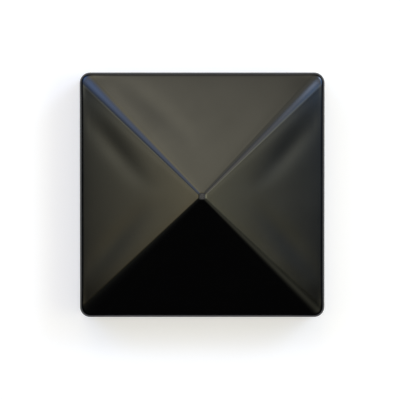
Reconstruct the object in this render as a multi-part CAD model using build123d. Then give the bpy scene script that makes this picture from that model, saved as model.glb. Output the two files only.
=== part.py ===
"""Pyramid cap that slips over the top of a square timber post, pressed from one sheet of steel.

The cap is one hollow piece: an upright skirt with round corners, a bend at the eave, and a low
four-sided roof that runs up to a small blunt tip. The sheet has the same thickness all over, so
every bend has an inside radius, and its outside radius is that plus the sheet.

The origin is at the centre of the open end, on the plane of the rim. +Z points up to the tip, and
X and Y are square to the walls. Lengths are in millimetres, angles in degrees.
"""

import math
import os

from build123d import *

# The post, and the gap left round it on each side
post_side = 89.0
post_gap = 1.0

# The sheet, with its sheared edge rounded off a little at the rim
sheet = 1.5
rim_round = 0.3

# The skirt: its depth runs from the rim up to the line where wall and roof would meet outside
skirt_depth = 20.0
corner_inside_radius = 2.5
eave_inside_radius = 0.9

# The roof: its pitch above level, and the blunt tip as it is on the hollow side, where each side
# of the tip's small square is a straight stretch between two corner arcs
roof_pitch = 25.0
tip_inside_straight = 0.4
tip_inside_corner_radius = 0.7
tip_inside_radius = 1.0

# The turns that carry one side and one corner of a square round to the other three
quarter_turns = (0, 90, 180, 270)

# Half the height of the band in which a level edge is looked for
level_band = 0.001

# Worked out from the sizes above
pitch = math.radians(roof_pitch)
inside_side = post_side + 2 * post_gap
outside_side = inside_side + 2 * sheet
tip_growth = sheet * math.tan(pitch / 2)
tip_inside_side = tip_inside_straight + 2 * tip_inside_corner_radius
tip_outside_side = tip_inside_side + 2 * tip_growth
roof_rise = (outside_side - tip_outside_side) / 2 * math.tan(pitch)
outside_top = skirt_depth + roof_rise
inside_top = outside_top - sheet
inside_eave = skirt_depth - sheet * math.tan(math.pi / 4 - pitch / 2)


def rounded_square(side, corner_radius, height):
    """Level square with round corners, centred on Z at a height."""
    return Plane.XY.offset(height) * RectangleRounded(side, side, corner_radius)


def side_and_corner(side, corner_radius, height):
    """The +X side of such a square as a line, and the corner that follows it as an arc."""
    half = side / 2
    flat = half - corner_radius
    line = Edge.make_line((half, -flat, height), (half, flat, height))
    arc = Edge.make_circle(corner_radius, Plane(origin=(flat, flat, height)), 0, 90)
    return line, arc


def edges_at(solid, height):
    """The level edges of a solid that lie at a height."""
    return solid.edges().filter_by_position(Axis.Z, height - level_band, height + level_band)


def roof(side, corner_radius, eave, top, tip_side, tip_corner_radius):
    """Solid roof from the outline of the walls at the eave up to the outline of the tip.

    Each of its four slopes is a plane. Each hip between two slopes is ruled from arc to arc, so it
    is a leaning cone that narrows from the round corner of the walls to that of the tip.
    """
    low_line, low_arc = side_and_corner(side, corner_radius, eave)
    high_line, high_arc = side_and_corner(tip_side, tip_corner_radius, top)
    slope = Face(Wire.make_polygon([low_line @ 0, low_line @ 1, high_line @ 1, high_line @ 0]))
    hip = Face.make_surface_from_curves(low_arc, high_arc)
    faces = [face.rotate(Axis.Z, turn) for turn in quarter_turns for face in (slope, hip)]
    faces.append(rounded_square(side, corner_radius, eave).face())
    faces.append(rounded_square(tip_side, tip_corner_radius, top).face())
    return Solid(Shell(faces))


def roofed_block(side, corner_radius, eave, eave_radius, top, tip_side, tip_corner_radius, tip_radius):
    """Solid block with upright walls and a roof, rounded where walls and roof meet and at the tip."""
    walls = extrude(rounded_square(side, corner_radius, 0), eave)
    block = walls + roof(side, corner_radius, eave, top, tip_side, tip_corner_radius)
    block = fillet(edges_at(block, eave), eave_radius)
    return fillet(edges_at(block, top), tip_radius)


def outside_form():
    """The cap as if it were filled: the outer face of the sheet."""
    return roofed_block(
        side=outside_side,
        corner_radius=corner_inside_radius + sheet,
        eave=skirt_depth,
        eave_radius=eave_inside_radius + sheet,
        top=outside_top,
        tip_side=tip_outside_side,
        tip_corner_radius=tip_inside_corner_radius + tip_growth,
        tip_radius=tip_inside_radius + sheet,
    )


def hollow():
    """The space under the cap: the inner face of the sheet."""
    return roofed_block(
        side=inside_side,
        corner_radius=corner_inside_radius,
        eave=inside_eave,
        eave_radius=eave_inside_radius,
        top=inside_top,
        tip_side=tip_inside_side,
        tip_corner_radius=tip_inside_corner_radius,
        tip_radius=tip_inside_radius,
    )


def pyramid_cap():
    """The finished cap: the outside form, hollowed out, with the rim's two edges rounded."""
    shell = outside_form() - hollow()
    return fillet(edges_at(shell, 0), rim_round)


os.makedirs("parts", exist_ok=True)
cap = pyramid_cap()
export_step(cap, "parts/pyramid_cap.step")
print("outside", outside_side, "opening", inside_side, "height", round(outside_top, 3))
print("faces", len(cap.faces()), "volume", round(cap.volume, 1))
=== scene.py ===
"""Looks of a black powder-coated steel pyramid cap for a square post, seen from straight above.

The cap is one pressed sheet. Its outer and inner faces are worked out here as one closed surface, from
the same sizes as the solid that it stands for: slopes, hips that narrow from the round corners to a
blunt tip, the bend at the eave, the skirt and the rim. The slopes also get the slight unevenness that
pressing leaves, which only a glossy coat shows. Lengths are in metres, angles in degrees where a name
says so and in radians otherwise. +Z is up, +Y is the top of the picture and +X its right.
"""

from __future__ import annotations

import logging
import math
from dataclasses import dataclass, field
from enum import Enum

import bpy
import numpy as np
from mathutils import Matrix, Vector

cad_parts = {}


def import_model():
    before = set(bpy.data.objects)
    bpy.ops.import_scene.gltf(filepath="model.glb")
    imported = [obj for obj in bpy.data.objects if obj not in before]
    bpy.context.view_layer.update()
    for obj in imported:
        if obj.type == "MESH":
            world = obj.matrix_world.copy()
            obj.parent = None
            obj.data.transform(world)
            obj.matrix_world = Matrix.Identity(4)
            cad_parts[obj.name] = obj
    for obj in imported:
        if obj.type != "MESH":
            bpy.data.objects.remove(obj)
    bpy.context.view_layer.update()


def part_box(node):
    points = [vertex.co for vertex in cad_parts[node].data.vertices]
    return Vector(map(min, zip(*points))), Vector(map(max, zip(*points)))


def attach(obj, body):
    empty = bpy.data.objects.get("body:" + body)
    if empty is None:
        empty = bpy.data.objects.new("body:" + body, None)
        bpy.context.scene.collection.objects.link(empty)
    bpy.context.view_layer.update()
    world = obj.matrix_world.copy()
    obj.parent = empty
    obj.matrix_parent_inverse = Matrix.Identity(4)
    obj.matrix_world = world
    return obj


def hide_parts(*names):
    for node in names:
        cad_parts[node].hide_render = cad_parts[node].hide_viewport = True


MM = 0.001
CAP_NODE = "pyramid_cap"
CAP_BODY = "root"
PICTURE_PIXELS = 400
SENSOR_WIDTH_MM = 36.0
UP = np.array([0.0, 0.0, 1.0])
LEVEL = np.array([1.0, 1.0, 0.0])

# Place of the ring on the tip's flat, as a share of the way out to the flat's edge, and the share of
# a slope's steps that is even, the rest closing up to its ends
TIP_RING = 0.5
EVEN_SLOPE_SHARE = 0.55

log = logging.getLogger("post_cap")


class CoatSide(Enum):
    """The side of the sheet that a coat is on, with the number of its material on the mesh."""

    OUTSIDE = 0
    INSIDE = 1


class Hip(Enum):
    """The four hips, each with the signs of X and Y in its quarter of the plan."""

    NORTH_EAST = (1, 1)
    NORTH_WEST = (-1, 1)
    SOUTH_WEST = (-1, -1)
    SOUTH_EAST = (1, -1)


@dataclass(frozen=True)
class HipShare:
    """How strongly the sheet is drawn beside one hip.

    Attributes:
        facing_x: The share on the slope that faces along X.
        facing_y: The share on the slope that faces along Y.
    """

    facing_x: float
    facing_y: float


def default_shares() -> dict[Hip, HipShare]:
    """Shares of the draw beside each hip, as the reflections in the photograph show them.

    Returns:
        The share for each hip.
    """
    return {
        Hip.NORTH_EAST: HipShare(facing_x=1.1, facing_y=0.24),
        Hip.NORTH_WEST: HipShare(facing_x=1.04, facing_y=0.7),
        Hip.SOUTH_WEST: HipShare(facing_x=0.88, facing_y=0.45),
        Hip.SOUTH_EAST: HipShare(facing_x=0.78, facing_y=0.45),
    }


@dataclass(frozen=True)
class PressedWaves:
    """How far the pressed slopes stand off true planes, as heights along Z.

    Attributes:
        bow: Rise of a slope's middle over the straight line from eave to tip.
        eave_rise: Rise gained over a short way in from the eave, where the sheet is drawn over its bend.
        eave_reach: The way in over which most of that rise is gained.
        bead: Height of the soft bead that runs close beside each hip.
        bead_offset: Distance in plan from the hip's line to the bead.
        bead_width: Half width of the bead, where it has faded to about a third.
        valley: Depth of the shallow valley beyond the bead.
        valley_offset: Distance in plan from the hip's line to the valley's floor.
        valley_width: Half width of the valley, as for the bead.
        draw_middle: Share of the way from eave to tip where bead and valley are strongest.
        draw_spread: Share of that way, up and down from there, at which a third of them is left.
        draw_onset: How steeply they set in at either end of the way.
        droop: How far the sheet is drawn down near each corner of the eave.
        droop_reach: Distance from that corner at which a third of the droop is left.
        droop_start: The way in from the eave over which most of the droop sets in.
        shoulder: Depth of the soft hollow along either edge of a hip, as a share of its radius there.
        shoulder_width: Half width of that hollow, as a share of the hip's half width.
        shoulder_blend: Distance over which the hollows of a narrow hip's two edges run together.
        shoulder_onset: How steeply the hollow sets in at either end of the way.
        hip_blend: Distance over which one side of a hip goes over into the other.
        share_blend: Distance over which the share on one side of a hip goes over into the other's.
        middle_blend: Distance from a slope's middle line within which bead and valley fade out.
        shares: How strong bead and valley are beside each hip.
    """

    bow: float = 0.19 * MM
    eave_rise: float = 0.041 * MM
    eave_reach: float = 2.6 * MM
    bead: float = 0.02 * MM
    bead_offset: float = 2.4 * MM
    bead_width: float = 2.9 * MM
    valley: float = 0.1 * MM
    valley_offset: float = 10.0 * MM
    valley_width: float = 3.8 * MM
    draw_middle: float = 0.31
    draw_spread: float = 0.225
    draw_onset: float = 3.0
    droop: float = 0.235 * MM
    droop_reach: float = 10.8 * MM
    droop_start: float = 0.8 * MM
    shoulder: float = 0.009
    shoulder_width: float = 0.89
    shoulder_blend: float = 0.3 * MM
    shoulder_onset: float = 6.0
    hip_blend: float = 1.2 * MM
    share_blend: float = 2.0 * MM
    middle_blend: float = 4.0 * MM
    shares: dict[Hip, HipShare] = field(default_factory=default_shares)

    def height(
        self,
        x: np.ndarray,
        y: np.ndarray,
        way: np.ndarray,
        run: float,
        half: float,
        radius: np.ndarray,
    ) -> np.ndarray:
        """Rise of the sheet over its true form at points in plan.

        The bow is a parabola in the way u from eave to tip, four times u times one less u. The eave's
        rise is one less the exponential of minus the distance from the eave over its reach, faded out
        towards the tip. Bead and valley are bell curves in the distance from the nearer hip, times a
        bell curve in u, times the share for that side of that hip. The droop of the corners and the
        hollow beside the hips are taken off.

        Args:
            x: Places of the points along X.
            y: Places of the points along Y.
            way: Share of the way from the wall, 0, to the outline of the tip, 1.
            run: Distance in plan from the wall to the outline of the tip.
            half: Half the distance between opposite walls.
            radius: Radius of the nearest hip in a level section through each point.

        Returns:
            The rise at each point, in metres, nought at the wall and at the tip.
        """
        u = np.clip(way, 0.0, 1.0)
        fade = 4.0 * u * (1.0 - u)
        eave = self.eave_rise * (1.0 - np.exp(-u * run / self.eave_reach)) * (1.0 - u) ** 2
        off_hip = (np.abs(x) - np.abs(y)) / math.sqrt(2.0)
        distance = np.hypot(off_hip, self.hip_blend) - self.hip_blend
        bead = self.bead * np.exp(-(((distance - self.bead_offset) / self.bead_width) ** 2))
        valley = self.valley * np.exp(-(((distance - self.valley_offset) / self.valley_width) ** 2))
        along = np.exp(-(((u - self.draw_middle) / self.draw_spread) ** 2))
        along = along * np.minimum(fade * self.draw_onset, 1.0)
        middle = 1.0 - np.exp(-((np.minimum(np.abs(x), np.abs(y)) / self.middle_blend) ** 2))
        rise = self.bow * fade + eave + self.share(x, y, off_hip) * along * middle * (bead - valley)
        rise = rise - self.corner_droop(x, y, u * run, half)
        return rise - self.hip_shoulder(off_hip, radius) * np.minimum(fade * self.shoulder_onset, 1.0)

    def hip_shoulder(self, off_hip: np.ndarray, radius: np.ndarray) -> np.ndarray:
        """Soft hollow along both edges of a hip, which lets its round run out gently into the slopes.

        It is a bell curve in the distance from the hip's edge, which lies at the radius over root two,
        with the crease on the hip's own line smoothed by a hyperbola.

        Args:
            off_hip: Distance from the nearer hip.
            radius: Radius of that hip.

        Returns:
            The depth of the hollow at each point.
        """
        place = np.hypot(off_hip, self.shoulder_blend) * math.sqrt(2.0) / radius
        return self.shoulder * radius * np.exp(-(((place - 1.0) / self.shoulder_width) ** 2))

    def corner_droop(
        self, x: np.ndarray, y: np.ndarray, inwards: np.ndarray, half: float
    ) -> np.ndarray:
        """Droop of the sheet near the four corners of the eave.

        It is a bell curve in the distance in plan from the nearest corner, times one less the
        exponential of minus the way in from the eave over the droop's start.

        Args:
            x: Places of the points along X.
            y: Places of the points along Y.
            inwards: Way in from the wall.
            half: Half the distance between opposite walls.

        Returns:
            The droop at each point.
        """
        away = np.hypot(half - np.abs(x), half - np.abs(y)) / self.droop_reach
        return self.droop * np.exp(-(away**2)) * (1.0 - np.exp(-inwards / self.droop_start))

    def share(self, x: np.ndarray, y: np.ndarray, off_hip: np.ndarray) -> np.ndarray:
        """Share of the draw at points in plan.

        It goes over from the share of the slope that faces Y to that of the slope that faces X as a
        hyperbolic tangent does.

        Args:
            x: Places of the points along X.
            y: Places of the points along Y.
            off_hip: Distance from the nearer hip, above nought on the slope that faces X.

        Returns:
            The share at each point.
        """
        faced = np.zeros((2, 2, 2))
        for hip, share in self.shares.items():
            faced[int(hip.value[0] > 0), int(hip.value[1] > 0)] = (share.facing_x, share.facing_y)
        here = faced[(x > 0.0).astype(int), (y > 0.0).astype(int)]
        toward_x = 0.5 + 0.5 * np.tanh(off_hip / self.share_blend)
        return here[..., 1] + (here[..., 0] - here[..., 1]) * toward_x


@dataclass(frozen=True)
class SheetFace:
    """One face of the pressed sheet, outer or inner: walls, bend, four slopes, four hips and the tip.

    A level section of the roof is a square with round corners. Going up from the eave to the tip, its
    half side and its corner radius both shrink evenly, so the slopes are planes and the hips are
    leaning cones. The bend at the eave and the one round the tip are rolled by a ball.

    Attributes:
        half: Half the distance between opposite walls.
        corner: Radius of the upright corners.
        eave: Height at which wall and slope would meet.
        eave_radius: Radius of the bend there.
        top: Height of the flat on the tip.
        tip_half: Half the side of the tip's outline, before it is rounded.
        tip_corner: Corner radius of that outline.
        tip_radius: Radius of the round between slopes and tip.
    """

    half: float
    corner: float
    eave: float
    eave_radius: float
    top: float
    tip_half: float
    tip_corner: float
    tip_radius: float

    @property
    def run(self) -> float:
        """Distance in plan from a wall to the outline of the tip."""
        return self.half - self.tip_half

    @property
    def centre_drift(self) -> float:
        """Movement of a corner's centre in X, and in Y, for each unit of rise."""
        return ((self.tip_half - self.tip_corner) - (self.half - self.corner)) / (self.top - self.eave)

    @property
    def radius_drift(self) -> float:
        """Change of the corner radius for each unit of rise."""
        return (self.tip_corner - self.corner) / (self.top - self.eave)

    def steepness(self, turn: np.ndarray) -> np.ndarray:
        """Upward part of the slope's normal for a level part of one, at each turn round a corner.

        It is minus the corner centre's drift times cosine plus sine of the turn, less the radius drift.

        Args:
            turn: Angle round the corner, 0 on the side before it.

        Returns:
            The upward part for each turn.
        """
        return -(self.centre_drift * (np.cos(turn) + np.sin(turn)) + self.radius_drift)

    def eave_rise(self, turn: np.ndarray) -> np.ndarray:
        """Rise over the eave's height at which the bend's ball touches the roof.

        The roof moved inwards by the ball's radius is cut with the walls moved inwards by it. Beside
        a flat wall that is a linear equation in the rise, and beside the round corner a quadratic one.

        Args:
            turn: Angle round the corner, 0 on the side before it.

        Returns:
            The rise for each turn.
        """
        drift, shrink, ball = self.centre_drift, self.radius_drift, self.eave_radius
        core = self.corner - ball
        k = self.corner - ball / np.sqrt(1.0 + self.steepness(turn) ** 2)
        c, s = np.cos(turn), np.sin(turn)
        a, b = drift + shrink * c, drift + shrink * s
        on_x_wall = (core - k * c) / a
        on_y_wall = (core - k * s) / b
        p, q, r = a * a + b * b, 2.0 * k * (a * c + b * s), k * k - core * core
        on_corner = (-q - np.sqrt(np.maximum(q * q - 4.0 * p * r, 0.0))) / (2.0 * p)
        beside_x = b * on_x_wall + k * s <= 0.0
        beside_y = a * on_y_wall + k * c <= 0.0
        return np.where(beside_x, on_x_wall, np.where(beside_y, on_y_wall, on_corner))

    def rows(
        self,
        straight: np.ndarray,
        turn: np.ndarray,
        steps: RowSteps,
        waves: PressedWaves,
        spin: np.ndarray,
    ) -> np.ndarray:
        """Points of one quarter of the face, row by row from the tip's flat down to the eave's bend.

        A column is a place on the +X side, or a turn round the corner after it. Its ruling goes from
        the eave's outline to the tip's, and it is cut off where the balls of tip and eave touch it.

        Args:
            straight: Place along the straight of the side, from -1 to 1, and 1 for the corner's columns.
            turn: Angle round the corner, and 0 for the side's columns.
            steps: How the rows are spaced.
            waves: The unevenness that is added to the slopes.
            spin: The turn about Z that brings the +X quarter to its place.

        Returns:
            An array of rows by columns by three.
        """
        outward = np.stack([np.cos(turn), np.sin(turn), np.zeros_like(turn)], axis=-1)
        steep = self.steepness(turn)
        lean = 1.0 / np.sqrt(1.0 + steep**2)
        normal = outward * lean[:, None] + UP * (steep * lean)[:, None]
        low = self.outline(self.half, self.corner, self.eave, straight, turn)
        high = self.outline(self.tip_half, self.tip_corner, self.top, straight, turn)
        rise = self.top - self.eave
        eave_share = self.eave_rise(turn) / rise
        tip_share = 1.0 - self.tip_radius * (1.0 - steep * lean) / rise

        tip_touch = low + (high - low) * tip_share[:, None]
        tip = self.tip_rows(tip_touch, outward, normal, np.arctan2(lean, steep * lean), steps)
        share = tip_share + (eave_share - tip_share) * steps.slope[:, None]
        slope = low + (high - low) * share[..., None]
        eave_touch = low + (high - low) * eave_share[:, None]
        bend, gone = self.eave_rows(eave_touch, normal, turn, steps)

        way = np.concatenate([share, eave_share * (1.0 - gone)])
        radius = self.corner + (self.tip_corner - self.corner) * np.clip(way, 0.0, 1.0)
        roof = np.concatenate([slope, bend]) @ spin
        roof[..., 2] += waves.height(roof[..., 0], roof[..., 1], way, self.run, self.half, radius)
        return np.concatenate([tip @ spin, roof])

    def tip_rows(
        self,
        touch: np.ndarray,
        outward: np.ndarray,
        normal: np.ndarray,
        angle: np.ndarray,
        steps: RowSteps,
    ) -> np.ndarray:
        """Rows on the tip's flat and round the bend between the flat and the slopes.

        The bend is an arc about the centre of the tip's ball, which lies its radius under the slope:
        its turn goes from upright to the slope's normal, by the sine outwards and by the cosine up.
        A row on the flat is a share of the bend's first row, at the height of the top.

        Args:
            touch: Points where the ball touches the slope.
            outward: Level unit directions of the columns.
            normal: Unit normals of the slope.
            angle: Angle from upright to those normals.
            steps: How the rows are spaced.

        Returns:
            An array of rows by columns by three.
        """
        ball = touch - self.tip_radius * normal
        turned = steps.tip_arc[:, None] * angle[None, :]
        arc = ball + self.tip_radius * (
            np.sin(turned)[..., None] * outward + np.cos(turned)[..., None] * UP
        )
        flat = arc[:1] * LEVEL * steps.tip_flat[:, None, None] + UP * self.top
        return np.concatenate([flat, arc])

    def eave_rows(
        self, touch: np.ndarray, normal: np.ndarray, turn: np.ndarray, steps: RowSteps
    ) -> tuple[np.ndarray, np.ndarray]:
        """Rows round the bend at the eave, and how far each has gone from the slope to the wall.

        The bend is an arc about the centre of the eave's ball, from the slope's normal to the wall's.
        Each normal counts by the sine of the angle left to the other, over the sine of the whole.

        Args:
            touch: Points where the ball touches the slope.
            normal: Unit normals of the slope.
            turn: Angle round the corner, and 0 for the side's columns.
            steps: How the rows are spaced.

        Returns:
            An array of rows by columns by three, and shares from 0 to 1 of the way out to the wall.
        """
        ball = touch - self.eave_radius * normal
        wall = self.wall_normal(ball, turn)
        between = np.arccos(np.clip(np.sum(normal * wall, axis=-1), -1.0, 1.0))
        part = steps.eave_arc[:, None] * between[None, :]
        arc = ball + self.eave_radius * (
            np.sin(between - part)[..., None] * normal + np.sin(part)[..., None] * wall
        ) / np.sin(between)[None, :, None]
        gone = np.sum((arc - touch) * wall, axis=-1)
        return arc, np.clip(gone / gone[-1], 0.0, 1.0)

    @staticmethod
    def outline(
        half: float, corner: float, height: float, straight: np.ndarray, turn: np.ndarray
    ) -> np.ndarray:
        """Points on a level square with round corners.

        X is the half side less the corner radius plus the radius times the turn's cosine, and Y is
        the place on the straight plus the radius times the turn's sine.

        Args:
            half: Half the side.
            corner: Radius of its corners.
            height: Its height.
            straight: Place along the straight of the side, from -1 to 1.
            turn: Angle round the corner.

        Returns:
            An array of columns by three.
        """
        flat = half - corner
        x = flat + corner * np.cos(turn)
        y = flat * straight + corner * np.sin(turn)
        return np.stack([x, y, np.full_like(x, height)], axis=-1)

    def wall_normal(self, place: np.ndarray, turn: np.ndarray) -> np.ndarray:
        """Level unit normal of the wall beside a place.

        It is square to the side beside a flat wall, and points away from the upright corner's centre
        elsewhere.

        Args:
            place: Places inside the wall or on it.
            turn: Angle round the corner, and 0 for the side's columns.

        Returns:
            The normals, an array of columns by three.
        """
        away = np.maximum(place - (self.half - self.corner), 0.0) * LEVEL
        away[turn == 0.0, 1] = 0.0
        return away / np.linalg.norm(away, axis=-1, keepdims=True)


@dataclass(frozen=True)
class RowSteps:
    """How the rows of a face are spaced, each as shares from 0 to 1 of its stretch, tip first.

    Attributes:
        tip_flat: Rings on the tip's flat, as shares of the way out to the flat's edge.
        tip_arc: Rows round the bend at the tip.
        slope: Rows down the slope.
        eave_arc: Rows round the bend at the eave.
    """

    tip_flat: np.ndarray
    tip_arc: np.ndarray
    slope: np.ndarray
    eave_arc: np.ndarray

    @classmethod
    def of(cls, tip_arc: int, slope: int, eave_arc: int) -> RowSteps:
        """Even steps on the arcs, and steps on the slope that close up towards both its ends.

        The slope's steps are even ones mixed with those of half a cosine wave.

        Args:
            tip_arc: Number of steps round the tip.
            slope: Number of steps down the slope.
            eave_arc: Number of steps round the eave.

        Returns:
            The steps, where a stretch leaves out the row that it shares with the one before.
        """
        even = np.linspace(0.0, 1.0, slope + 1)
        closing = 0.5 - 0.5 * np.cos(math.pi * even)
        graded = EVEN_SLOPE_SHARE * even + (1.0 - EVEN_SLOPE_SHARE) * closing
        return cls(
            tip_flat=np.array([TIP_RING]),
            tip_arc=np.linspace(0.0, 1.0, tip_arc + 1),
            slope=graded[1:],
            eave_arc=np.linspace(0.0, 1.0, eave_arc + 1)[1:],
        )


@dataclass(frozen=True)
class PowderCoat:
    """Baked black powder coat: a very dark base under its own gloss, with a faint orange-peel texture.

    Attributes:
        name: Name of the material.
        side: The side of the sheet that it is on.
        base: Colour of the powder, as linear red, green and blue.
        roughness_low: Roughness where the coat has flowed out best.
        roughness_high: Roughness where it has flowed out least.
        ior: Index of refraction of the resin.
        cloud_size: Size of the patches in which the gloss varies.
        peel_size: Size of the orange-peel texture's bumps.
        peel_height: Height of those bumps.
        grain_size: Size of the finest grain.
        grain_height: Height of that grain.
        cloud_range: Values of the patches' noise at which the two roughnesses are reached.
    """

    name: str
    side: CoatSide
    base: tuple[float, float, float]
    roughness_low: float
    roughness_high: float
    ior: float = 1.5
    cloud_size: float = 14.0 * MM
    peel_size: float = 1.1 * MM
    peel_height: float = 0.0012 * MM
    grain_size: float = 0.22 * MM
    grain_height: float = 0.0003 * MM
    cloud_range: tuple[float, float] = (0.35, 0.65)

    def material(self) -> bpy.types.Material:
        """Makes the node material, which reads Object coordinates alone.

        Returns:
            The new material.
        """
        made = bpy.data.materials.new(self.name)
        made.use_nodes = True
        tree = made.node_tree
        shader = tree.nodes["Principled BSDF"]
        shader.inputs["Base Color"].default_value = (*self.base, 1.0)
        shader.inputs["Metallic"].default_value = 0.0
        shader.inputs["IOR"].default_value = self.ior
        place = tree.nodes.new("ShaderNodeTexCoord").outputs["Object"]

        clouds = self.noise(tree, place, self.cloud_size, detail=3.0)
        spread = tree.nodes.new("ShaderNodeMapRange")
        spread.inputs["From Min"].default_value = self.cloud_range[0]
        spread.inputs["From Max"].default_value = self.cloud_range[1]
        spread.inputs["To Min"].default_value = self.roughness_low
        spread.inputs["To Max"].default_value = self.roughness_high
        tree.links.new(clouds, spread.inputs["Value"])
        tree.links.new(spread.outputs["Result"], shader.inputs["Roughness"])

        peel = self.noise(tree, place, self.peel_size, detail=1.0)
        peel = self.bump(tree, peel, self.peel_height, None)
        grain = self.noise(tree, place, self.grain_size, detail=2.0)
        grain = self.bump(tree, grain, self.grain_height, peel)
        tree.links.new(grain, shader.inputs["Normal"])
        return made

    @staticmethod
    def noise(
        tree: bpy.types.NodeTree, place: bpy.types.NodeSocket, size: float, detail: float
    ) -> bpy.types.NodeSocket:
        """Adds a noise whose patches are about a size across.

        Args:
            tree: The material's nodes.
            place: Where the noise is read.
            size: Size of its patches.
            detail: Number of finer layers.

        Returns:
            The noise's value, about a half on average.
        """
        node = tree.nodes.new("ShaderNodeTexNoise")
        node.inputs["Scale"].default_value = 1.0 / size
        node.inputs["Detail"].default_value = detail
        tree.links.new(place, node.inputs["Vector"])
        return node.outputs["Fac"]

    @staticmethod
    def bump(
        tree: bpy.types.NodeTree,
        height: bpy.types.NodeSocket,
        distance: float,
        under: bpy.types.NodeSocket | None,
    ) -> bpy.types.NodeSocket:
        """Adds a bump over another.

        Args:
            tree: The material's nodes.
            height: The value that it is high by.
            distance: The height that a value of 1 stands for.
            under: The normal that it is added to, if there is one.

        Returns:
            The bent normal.
        """
        node = tree.nodes.new("ShaderNodeBump")
        node.inputs["Distance"].default_value = distance
        tree.links.new(height, node.inputs["Height"])
        if under is not None:
            tree.links.new(under, node.inputs["Normal"])
        return node.outputs["Normal"]


@dataclass
class PyramidCap:
    """The whole cap: one pressed sheet, coated black on both sides.

    Attributes:
        outside_half: Half the distance between opposite outer walls, from the frame.
        top: Height of the tip over the rim, from the frame.
        sheet: Thickness of the sheet.
        rim_round: Radius on the two edges of the rim.
        corner_inside_radius: Inside radius of the upright corners.
        eave_inside_radius: Inside radius of the bend at the eave.
        roof_pitch_degrees: Angle of the slopes above level.
        tip_inside_straight: Straight between the corner arcs of the tip's inner outline.
        tip_inside_corner_radius: Radius of those arcs.
        tip_inside_radius: Inside radius of the round between slopes and tip.
        side_steps: Number of steps along one side.
        corner_steps: Number of steps round one corner.
        rim_steps: Number of steps round each edge of the rim.
        wall_steps: Number of steps down a wall.
        outer_steps: Number of steps round the tip, down the slope and round the eave, outside.
        inner_steps: The same three numbers for the inside.
        side_even_share: Share of the side's steps that is even, the rest closing up to its ends.
        waves: Unevenness of the slopes.
    """

    outside_half: float
    top: float
    sheet: float = 1.5 * MM
    rim_round: float = 0.3 * MM
    corner_inside_radius: float = 2.5 * MM
    eave_inside_radius: float = 0.9 * MM
    roof_pitch_degrees: float = 25.0
    tip_inside_straight: float = 0.4 * MM
    tip_inside_corner_radius: float = 0.7 * MM
    tip_inside_radius: float = 1.0 * MM
    side_steps: int = 56
    corner_steps: int = 20
    rim_steps: int = 5
    wall_steps: int = 8
    outer_steps: tuple[int, int, int] = (8, 64, 14)
    inner_steps: tuple[int, int, int] = (6, 44, 8)
    side_even_share: float = 0.3
    waves: PressedWaves = field(default_factory=PressedWaves)

    @property
    def pitch(self) -> float:
        """The slopes' angle above level, in radians."""
        return math.radians(self.roof_pitch_degrees)

    @property
    def tip_inside_half(self) -> float:
        """Half the side of the tip's inner outline."""
        return self.tip_inside_straight / 2.0 + self.tip_inside_corner_radius

    def outer_face(self) -> SheetFace:
        """The outer face of the sheet.

        Its eave lies under the tip by the run times the tangent of the pitch, and the outline of its
        tip is wider than the inner one by the sheet times the tangent of half the pitch.

        Returns:
            The outer face.
        """
        growth = self.sheet * math.tan(self.pitch / 2.0)
        tip_half = self.tip_inside_half + growth
        return SheetFace(
            half=self.outside_half,
            corner=self.corner_inside_radius + self.sheet,
            eave=self.top - (self.outside_half - tip_half) * math.tan(self.pitch),
            eave_radius=self.eave_inside_radius + self.sheet,
            top=self.top,
            tip_half=tip_half,
            tip_corner=self.tip_inside_corner_radius + growth,
            tip_radius=self.tip_inside_radius + self.sheet,
        )

    def inner_face(self) -> SheetFace:
        """The inner face of the sheet, one sheet's thickness inside the outer one all over.

        Returns:
            The inner face.
        """
        inside_half = self.outside_half - self.sheet
        inside_top = self.top - self.sheet
        return SheetFace(
            half=inside_half,
            corner=self.corner_inside_radius,
            eave=inside_top - (inside_half - self.tip_inside_half) * math.tan(self.pitch),
            eave_radius=self.eave_inside_radius,
            top=inside_top,
            tip_half=self.tip_inside_half,
            tip_corner=self.tip_inside_corner_radius,
            tip_radius=self.tip_inside_radius,
        )

    def columns(self) -> tuple[np.ndarray, np.ndarray]:
        """Where the columns of a quarter are: steps along the side, then steps round its corner.

        The side's steps close up towards its ends, as part of a sine does. Either stretch leaves out
        its last column, which is the first of the next.

        Returns:
            Places along the straight from -1 to 1, and turns round the corner.
        """
        even = np.linspace(-1.0, 1.0, self.side_steps + 1)[:-1]
        closing = np.sin(even * math.pi / 2.0)
        side = self.side_even_share * even + (1.0 - self.side_even_share) * closing
        turn = np.linspace(0.0, math.pi / 2.0, self.corner_steps + 1)[:-1]
        straight = np.concatenate([side, np.ones(self.corner_steps)])
        turns = np.concatenate([np.zeros(self.side_steps), turn])
        return straight, turns

    def wall_and_rim(self, foot: np.ndarray, wall: np.ndarray, inwards: float) -> np.ndarray:
        """Rows from under the eave's bend down the wall and round one edge of the rim.

        The wall goes straight down to the rim's round. The round is a quarter circle in the upright
        plane through the wall's normal, with its centre inside the sheet.

        Args:
            foot: The last row of the eave's bend.
            wall: Level unit normals of the wall, pointing away from the cap's middle.
            inwards: 1 for the outer face, and -1 for the inner one, whose sheet lies outside it.

        Returns:
            An array of rows by columns by three.
        """
        shares = np.linspace(0.0, 1.0, self.wall_steps + 1)[1:, None, None]
        base = foot * LEVEL + UP * self.rim_round
        down = foot + (base - foot) * shares
        angle = np.linspace(0.0, math.pi / 2.0, self.rim_steps + 1)[1:, None, None]
        centre = base - inwards * self.rim_round * wall
        level = inwards * self.rim_round * wall * np.cos(angle)
        under = -self.rim_round * UP * np.sin(angle)
        return np.concatenate([down, centre + level + under])

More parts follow.
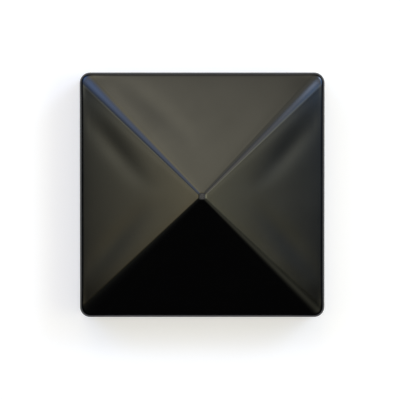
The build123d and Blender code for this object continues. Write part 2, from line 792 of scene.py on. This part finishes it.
    def face_rows(self, face: SheetFace, steps: RowSteps, inwards: float) -> np.ndarray:
        """Rows of a whole face from tip to rim, with its four quarters side by side.

        Args:
            face: The face.
            steps: How its rows are spaced.
            inwards: 1 for the outer face and -1 for the inner one.

        Returns:
            An array of rows by columns by three, turning anticlockwise as seen from above.
        """
        straight, turn = self.columns()
        quarters = []
        for quarter in range(4):
            c, s = math.cos(quarter * math.pi / 2.0), math.sin(quarter * math.pi / 2.0)
            spin = np.array([[c, s, 0.0], [-s, c, 0.0], [0.0, 0.0, 1.0]])
            roof = face.rows(straight, turn, steps, self.waves, spin)
            foot = roof[-1] @ spin.T
            skirt = self.wall_and_rim(foot, face.wall_normal(foot, turn), inwards) @ spin
            quarters.append(np.concatenate([roof, skirt]))
        return np.concatenate(quarters, axis=1)

    def mesh(self) -> bpy.types.Mesh:
        """One closed mesh: tip, outer face, rim, inner face and inner tip, with a pole at either end.

        The rows of the outer face run down to the rim and those of the inner face run back up, so a
        grid of four-sided faces joins them all, and a fan of triangles closes each pole.

        Returns:
            The mesh, with its two materials' numbers set.
        """
        outer = self.face_rows(self.outer_face(), RowSteps.of(*self.outer_steps), 1.0)
        inner = self.face_rows(self.inner_face(), RowSteps.of(*self.inner_steps), -1.0)[::-1]
        grid = np.concatenate([outer, inner])
        rows, columns = grid.shape[:2]
        poles = np.array([[0.0, 0.0, outer[0, 0, 2]], [0.0, 0.0, inner[-1, 0, 2]]])
        points = np.concatenate([grid.reshape(-1, 3), poles])

        index = np.arange(rows * columns).reshape(rows, columns)
        ahead = np.roll(index, -1, axis=1)
        quads = np.stack([index[:-1], index[1:], ahead[1:], ahead[:-1]], axis=-1).reshape(-1, 4)
        first, last = rows * columns, rows * columns + 1
        tip = np.stack([np.full(columns, first), index[0], ahead[0]], axis=-1)
        inner_tip = np.stack([index[-1], np.full(columns, last), ahead[-1]], axis=-1)

        made = bpy.data.meshes.new(CAP_NODE + "_coated")
        made.from_pydata(points.tolist(), [], [*quads.tolist(), *tip.tolist(), *inner_tip.tolist()])
        side = np.full((rows - 1, columns), CoatSide.OUTSIDE.value, np.int32)
        side[len(outer) :] = CoatSide.INSIDE.value
        tip_side = np.full(columns, CoatSide.OUTSIDE.value, np.int32)
        inner_tip_side = np.full(columns, CoatSide.INSIDE.value, np.int32)
        numbers = np.concatenate([side.ravel(), tip_side, inner_tip_side])
        made.polygons.foreach_set("material_index", numbers)
        made.polygons.foreach_set("use_smooth", np.ones(len(numbers), bool))
        made.validate()
        made.update()
        return made

    def build(self, coats: list[PowderCoat]) -> bpy.types.Object:
        """Makes the cap, dresses it and has it stand for the solid.

        Args:
            coats: The coat of each side of the sheet.

        Returns:
            The new object.
        """
        made = bpy.data.objects.new(CAP_NODE + "_coated", self.mesh())
        for coat in sorted(coats, key=lambda each: each.side.value):
            made.data.materials.append(coat.material())
        bpy.context.scene.collection.objects.link(made)
        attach(made, CAP_BODY)
        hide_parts(CAP_NODE)
        return made


@dataclass(frozen=True)
class StudioFloor:
    """Wide pale floor that curves up a little at its far edge, as seamless paper does.

    Attributes:
        inner_radii: Radii of the rings on its level part.
        flat_radius: Radius of its level part.
        sweep_radius: Radius of the curve at its edge.
        sweep_degrees: How far round that curve it goes.
        rings: Number of rings on the curve.
        spokes: Number of steps round.
        colour: Its colour, as linear red, green and blue.
        roughness: Its roughness.
        gloss: How strongly it is glossy.
        lift_strength: Brightness added where it is seen, which brings the floor to white.
    """

    inner_radii: tuple[float, float] = (0.4, 1.5)
    flat_radius: float = 6.0
    sweep_radius: float = 1.5
    sweep_degrees: float = 50.0
    rings: int = 8
    spokes: int = 96
    colour: tuple[float, float, float] = (0.72, 0.69, 0.67)
    roughness: float = 0.9
    gloss: float = 0.2
    lift_strength: float = 0.49

    def build(self) -> bpy.types.Object:
        """Makes the floor.

        Returns:
            The floor.
        """
        made = bpy.data.objects.new("studio_floor", self.mesh())
        made.data.materials.append(self.paper())
        bpy.context.scene.collection.objects.link(made)
        return made

    def mesh(self) -> bpy.types.Mesh:
        """The floor's mesh: a profile of radius and height turned about Z.

        The profile is level out to the flat radius. From there the radius grows by the sweep's radius
        times the sine, and the height by it times one less the cosine.

        Returns:
            The mesh, closed in its middle.
        """
        arc = np.radians(np.linspace(0.0, self.sweep_degrees, self.rings + 1))
        radius = np.concatenate([self.inner_radii, self.flat_radius + self.sweep_radius * np.sin(arc)])
        height = np.concatenate([[0.0, 0.0], self.sweep_radius * (1.0 - np.cos(arc))])
        turn = np.linspace(0.0, 2.0 * math.pi, self.spokes, endpoint=False)
        x, y = radius[:, None] * np.cos(turn), radius[:, None] * np.sin(turn)
        grid = np.stack([x, y, np.broadcast_to(height[:, None], x.shape)], axis=-1)
        points = np.concatenate([grid.reshape(-1, 3), [[0.0, 0.0, 0.0]]])
        index = np.arange(len(radius) * self.spokes).reshape(len(radius), self.spokes)
        ahead = np.roll(index, -1, axis=1)
        quads = np.stack([index[:-1], index[1:], ahead[1:], ahead[:-1]], axis=-1).reshape(-1, 4)
        middle = np.stack([np.full(self.spokes, index.size), index[0], ahead[0]], axis=-1)
        made = bpy.data.meshes.new("studio_floor")
        made.from_pydata(points.tolist(), [], [*quads.tolist(), *middle.tolist()])
        made.polygons.foreach_set("use_smooth", np.ones(len(made.polygons), bool))
        return made

    def paper(self) -> bpy.types.Material:
        """Makes the floor's material: pale matt paper, lifted to white where it is seen.

        Returns:
            The new material.
        """
        made = bpy.data.materials.new("floor_paper")
        made.use_nodes = True
        shader = made.node_tree.nodes["Principled BSDF"]
        shader.inputs["Base Color"].default_value = (*self.colour, 1.0)
        shader.inputs["Roughness"].default_value = self.roughness
        shader.inputs["Specular IOR Level"].default_value = self.gloss
        shader.inputs["Emission Color"].default_value = (1.0, 1.0, 1.0, 1.0)
        self.lift(made.node_tree, shader)
        return made

    def lift(self, tree: bpy.types.NodeTree, shader: bpy.types.Node) -> None:
        """Lifts the floor to white where the camera, gloss or glass sees it, and leaves its shadow.

        Args:
            tree: The material's nodes.
            shader: The floor's shader.
        """
        path = tree.nodes.new("ShaderNodeLightPath")
        seen = path.outputs["Is Camera Ray"]
        for name in ("Is Glossy Ray", "Is Transmission Ray"):
            either = tree.nodes.new("ShaderNodeMath")
            either.operation = "MAXIMUM"
            tree.links.new(seen, either.inputs[0])
            tree.links.new(path.outputs[name], either.inputs[1])
            seen = either.outputs["Value"]
        amount = tree.nodes.new("ShaderNodeMath")
        amount.operation = "MULTIPLY"
        amount.inputs[1].default_value = self.lift_strength
        tree.links.new(seen, amount.inputs[0])
        tree.links.new(amount.outputs["Value"], shader.inputs["Emission Strength"])


@dataclass(frozen=True)
class SoftLight:
    """A soft light in the surroundings: brightest in one direction, and fading evenly round it.

    Attributes:
        compass_degrees: Its direction in plan, 0 at +Y, the top of the picture, and 90 at +X.
        zenith_degrees: Its angle from straight up.
        strength: Its brightness at the middle.
        tint: Its colour.
        half_width_degrees: The angle from its middle at which its brightness is halved.
    """

    compass_degrees: float
    zenith_degrees: float
    strength: float
    tint: tuple[float, float, float]
    half_width_degrees: float

    @property
    def direction(self) -> Vector:
        """Unit vector towards the light.

        Returns:
            The sine of the zenith angle by the compass direction's sine and cosine, and its cosine up.
        """
        compass = math.radians(self.compass_degrees)
        zenith = math.radians(self.zenith_degrees)
        level = math.sin(zenith)
        return Vector((level * math.sin(compass), level * math.cos(compass), math.cos(zenith)))

    @property
    def tightness(self) -> float:
        """Factor of the cosine less one that makes the exponential a half at the half width."""
        return math.log(2.0) / (1.0 - math.cos(math.radians(self.half_width_degrees)))


@dataclass(frozen=True)
class Studio:
    """All the soft lights of the surroundings, over a faint even glow.

    Attributes:
        lights: The soft lights.
        glow: Brightness of the even glow.
    """

    lights: tuple[SoftLight, ...]
    glow: float

    def build(self) -> bpy.types.World:
        """Makes the surroundings.

        They are the glow plus, for each light, its strength and tint times the exponential of its
        tightness times the cosine of the angle to it less one.

        Returns:
            The new world.
        """
        world = bpy.data.worlds.new("soft_studio")
        world.use_nodes = True
        tree = world.node_tree
        background = tree.nodes["Background"]
        way = tree.nodes.new("ShaderNodeTexCoord").outputs["Generated"]
        total = None
        for light in self.lights:
            toward = tree.nodes.new("ShaderNodeVectorMath")
            toward.operation = "DOT_PRODUCT"
            toward.inputs[1].default_value = light.direction
            tree.links.new(way, toward.inputs[0])
            fall = tree.nodes.new("ShaderNodeMath")
            fall.operation = "MULTIPLY_ADD"
            fall.inputs[1].default_value = light.tightness
            fall.inputs[2].default_value = -light.tightness
            tree.links.new(toward.outputs["Value"], fall.inputs[0])
            bell = tree.nodes.new("ShaderNodeMath")
            bell.operation = "EXPONENT"
            tree.links.new(fall.outputs["Value"], bell.inputs[0])
            sized = tree.nodes.new("ShaderNodeVectorMath")
            sized.operation = "MULTIPLY_ADD"
            sized.inputs[1].default_value = [light.strength * part for part in light.tint]
            tree.links.new(bell.outputs["Value"], sized.inputs[0])
            if total is None:
                sized.inputs[2].default_value = (self.glow, self.glow, self.glow)
            else:
                tree.links.new(total, sized.inputs[2])
            total = sized.outputs["Vector"]
        tree.links.new(total, background.inputs["Color"])
        bpy.context.scene.world = world
        return world


@dataclass(frozen=True)
class OverheadCamera:
    """Camera above the cap, looking down with +Y at the top of the picture.

    Attributes:
        cap_pixels: Width of the cap in the picture.
        cap_centre_pixels: Middle of the cap's outline in the picture.
        distance: Distance from the camera to the level of the eave.
        lean_up_degrees: How far the camera stands off the vertical, towards the top of the picture.
        clip: Nearest and farthest distance that it sees.
    """

    cap_pixels: float = 245.1
    cap_centre_pixels: tuple[float, float] = (202.15, 195.0)
    distance: float = 1.1
    lean_up_degrees: float = 1.45
    clip: tuple[float, float] = (0.05, 50.0)

    def build(self, outside: float, eave: float) -> bpy.types.Object:
        """Makes the camera. The lens is the sensor's width times the distance over the view's width.

        Args:
            outside: Distance between opposite outer walls.
            eave: Height of the eave.

        Returns:
            The camera, set as the scene's own.
        """
        pixel = outside / self.cap_pixels
        middle = PICTURE_PIXELS / 2.0
        aside = self.cap_centre_pixels[0] - middle
        below = self.cap_centre_pixels[1] - middle
        aim = Vector((-aside * pixel, below * pixel, eave))
        back = Vector((0.0, math.tan(math.radians(self.lean_up_degrees)), 1.0)).normalized()
        right = Vector((0.0, 1.0, 0.0)).cross(back).normalized()
        up = back.cross(right)
        data = bpy.data.cameras.new("overhead_camera")
        data.sensor_width = SENSOR_WIDTH_MM
        data.lens = SENSOR_WIDTH_MM * self.distance / (pixel * PICTURE_PIXELS)
        data.clip_start, data.clip_end = self.clip
        made = bpy.data.objects.new("overhead_camera", data)
        turned = Matrix((right, up, back)).transposed().to_4x4()
        made.matrix_world = Matrix.Translation(aim + back * self.distance) @ turned
        bpy.context.scene.collection.objects.link(made)
        bpy.context.scene.camera = made
        return made


def studio() -> Studio:
    """The surroundings that the photograph's reflections show.

    They are a large soft light overhead, warm ones beyond the picture's top and beside its left and
    right, and cool ones beyond its two upper corners. Each line gives a light's compass direction,
    its angle from straight up, its strength, its tint and its half width, in the fields' order.

    Returns:
        The surroundings.
    """
    return Studio(
        lights=(
            SoftLight(0.0, 0.0, 1.8, (1.0, 0.98, 0.94), 15.5),
            SoftLight(-14.9, 38.0, 3.28, (1.0, 0.87, 0.48), 8.2),
            SoftLight(-4.1, 49.7, 2.18, (1.0, 0.95, 0.77), 5.0),
            SoftLight(21.0, 40.2, 1.3, (1.0, 0.98, 0.83), 13.8),
            SoftLight(0.0, 72.0, 0.8, (1.0, 0.95, 0.88), 13.0),
            SoftLight(-48.4, 49.4, 4.87, (0.05, 0.3, 1.0), 12.6),
            SoftLight(-50.3, 41.4, 1.46, (1.0, 0.77, 0.06), 12.4),
            SoftLight(70.0, 54.1, 4.7, (0.26, 0.51, 1.0), 8.4),
            SoftLight(50.7, 52.0, 14.19, (0.57, 0.71, 1.0), 7.0),
            SoftLight(64.6, 34.8, 2.33, (1.0, 0.78, 0.48), 5.0),
            SoftLight(-90.0, 44.7, 2.25, (1.0, 0.72, 0.24), 4.95),
            SoftLight(-86.0, 47.5, 1.7, (0.85, 1.0, 0.97), 4.9),
            SoftLight(86.5, 42.6, 3.7, (1.0, 0.91, 0.53), 6.15),
            SoftLight(95.6, 34.0, 6.3, (0.95, 1.0, 0.76), 6.0),
            SoftLight(133.0, 36.5, 0.68, (1.0, 1.0, 0.73), 9.6),
            SoftLight(-99.0, 33.0, 0.32, (0.94, 1.0, 0.78), 10.4),
        ),
        glow=0.0125,
    )


def sheet_coats() -> list[PowderCoat]:
    """The coat of each side of the sheet: glossy outside, thin and rougher inside.

    Returns:
        The two coats.
    """
    return [
        PowderCoat(
            name="black_powder_coat",
            side=CoatSide.OUTSIDE,
            base=(0.001, 0.001, 0.00105),
            roughness_low=0.12,
            roughness_high=0.16,
        ),
        PowderCoat(
            name="thin_inside_coat",
            side=CoatSide.INSIDE,
            base=(0.006, 0.006, 0.0063),
            roughness_low=0.38,
            roughness_high=0.5,
        ),
    ]


def main() -> None:
    """Builds the cap, the floor, the lights and the camera in order, and reports each."""
    logging.basicConfig(level=logging.INFO, format="%(name)s: %(message)s")
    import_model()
    low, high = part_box(CAP_NODE)
    bpy.context.scene.view_settings.view_transform = "Standard"

    cap = PyramidCap(outside_half=(high.x - low.x) / 2.0, top=high.z)
    shown = cap.build(sheet_coats())
    log.info("%s: %d faces", shown.name, len(shown.data.polygons))
    floor = StudioFloor().build()
    log.info("%s: %d faces", floor.name, len(floor.data.polygons))
    world = studio().build()
    log.info("%s: %d nodes", world.name, len(world.node_tree.nodes))
    camera = OverheadCamera().build(cap.outside_half * 2.0, cap.outer_face().eave)
    log.info("%s: lens %.1f mm", camera.name, camera.data.lens)


if __name__ == "__main__":
    main()
